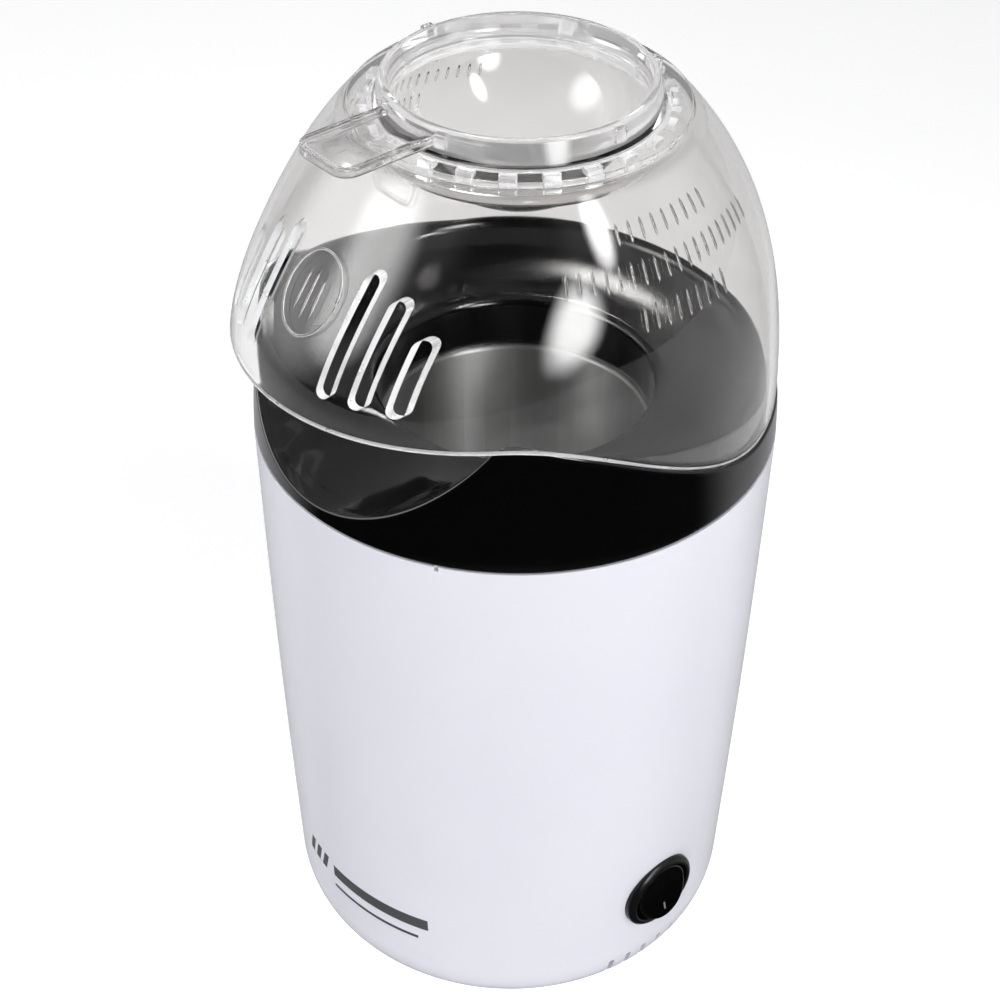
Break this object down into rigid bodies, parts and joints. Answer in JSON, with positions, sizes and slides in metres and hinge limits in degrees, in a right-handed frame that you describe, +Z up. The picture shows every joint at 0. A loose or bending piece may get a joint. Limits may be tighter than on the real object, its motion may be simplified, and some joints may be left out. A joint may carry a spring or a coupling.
{
  "type": "hot air popcorn maker",
  "caption": "Hot-air popcorn maker: tapered housing, sloping chute collar, lift-off clear cover with measuring cup, metal popping chamber, heater, blower and round rocker switch.",
  "frame": {"origin": "on the table, in the middle of the footprint box; the body's own axis stands 3.8 mm behind it at y = +0.0038", "axes": "+Z up; -Y is the side with the popcorn chute; +X is the side with the switch; +Y is the back with the cord gland"},
  "size_m": [0.1446, 0.152, 0.28],
  "materials": {
    "white_shell": "glossy white with a faint cool tint",
    "black_gloss": "high gloss black",
    "clear_plastic": "clear polished polycarbonate",
    "black_satin": "satin black",
    "black_nylon": "dull moulded nylon",
    "rubber": "matt rubber",
    "polished_aluminium": "polished, spun",
    "steel": "plain zinc-plated steel",
    "brass": "plain brass",
    "resistance_wire": "oxidised nickel-chromium wire",
    "mica": "pressed mica sheet",
    "circuit_board": "phenolic paper board",
    "lead_sleeve": "glass-fibre sleeved lead"
  },
  "bodies": {
    "body": {"housing": "white_shell", "collar": "black_gloss", "base_plate": "white_shell", "foot_1": "rubber", "foot_2": "rubber", "foot_3": "rubber", "foot_4": "rubber", "base_screw_1": "steel", "base_screw_2": "steel", "base_screw_3": "steel", "cord_gland": "black_satin", "popping_chamber": "polished_aluminium", "chamber_clamp": "steel", "clamp_screw_1": "steel", "clamp_screw_2": "steel", "clamp_screw_3": "steel", "air_jacket": "steel", "mica_board_a": "mica", "mica_board_b": "mica", "heater_coil": "resistance_wire", "thermostat": "black_satin", "thermal_fuse": "brass", "air_guide": "black_nylon", "motor_can": "steel", "motor_end_cap": "black_nylon", "motor_screw_1": "steel", "motor_screw_2": "steel", "rectifier_board": "circuit_board", "diode_1": "black_satin", "diode_2": "black_satin", "diode_3": "black_satin", "diode_4": "black_satin", "switch_bezel": "black_satin", "switch_terminal_1": "brass", "switch_terminal_2": "brass", "lead_gland_to_switch": "lead_sleeve", "lead_switch_to_thermostat": "lead_sleeve", "lead_thermostat_to_fuse": "lead_sleeve", "lead_gland_to_motor": "lead_sleeve"},
    "cover": {"cover": "clear_plastic"},
    "measuring_cup": {"measuring_cup": "clear_plastic"},
    "fan": {"fan_wheel": "black_nylon", "motor_shaft": "steel"},
    "rocker": {"switch_rocker": "black_gloss"}
  },
  "joints": [
    {"name": "cover_lift", "type": "slide", "parent": "body", "child": "cover", "axis": [0, 0, 1], "range_m": [0, 0.06]},
    {"name": "cup_lift", "type": "slide", "parent": "cover", "child": "measuring_cup", "axis": [0, 0, 1], "range_m": [0, 0.045]},
    {"name": "fan_spin", "type": "hinge", "parent": "body", "child": "fan", "pos_m": [0, 0.0038, 0.061], "axis": [0, 0, 1], "continuous": true},
    {"name": "switch_rock", "type": "hinge", "parent": "body", "child": "rocker", "pos_m": [0.06595, 0.0038, 0.03657], "axis": [0, 1, 0], "range_deg": [0, 18]}
  ]
}
